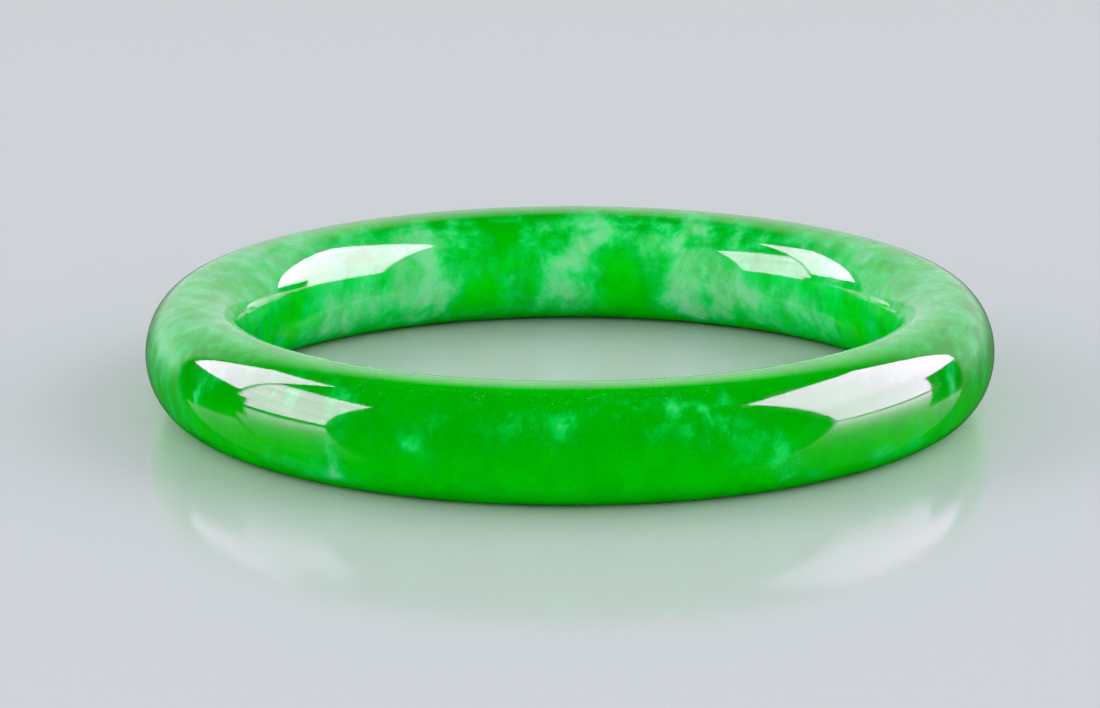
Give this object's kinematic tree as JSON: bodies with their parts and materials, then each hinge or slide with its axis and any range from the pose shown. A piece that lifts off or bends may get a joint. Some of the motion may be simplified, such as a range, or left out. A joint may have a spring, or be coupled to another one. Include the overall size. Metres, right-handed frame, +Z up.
{
  "type": "bangle bracelet",
  "caption": "Closed round bangle carved from solid green jade, with an oval section rounded outside and inside; slips over the hand and is worn on the wrist.",
  "frame": {"origin": "centre of the wrist opening, level with the surface the ring rests on", "axes": "+Z up along the axis of the opening; the ring is the same in every direction around +Z"},
  "size_m": [0.0764, 0.0764, 0.0105],
  "materials": {
    "jade": "polished, slightly translucent, mottled"
  },
  "bodies": {
    "root": {"jade_ring": "jade"}
  },
  "joints": []
}
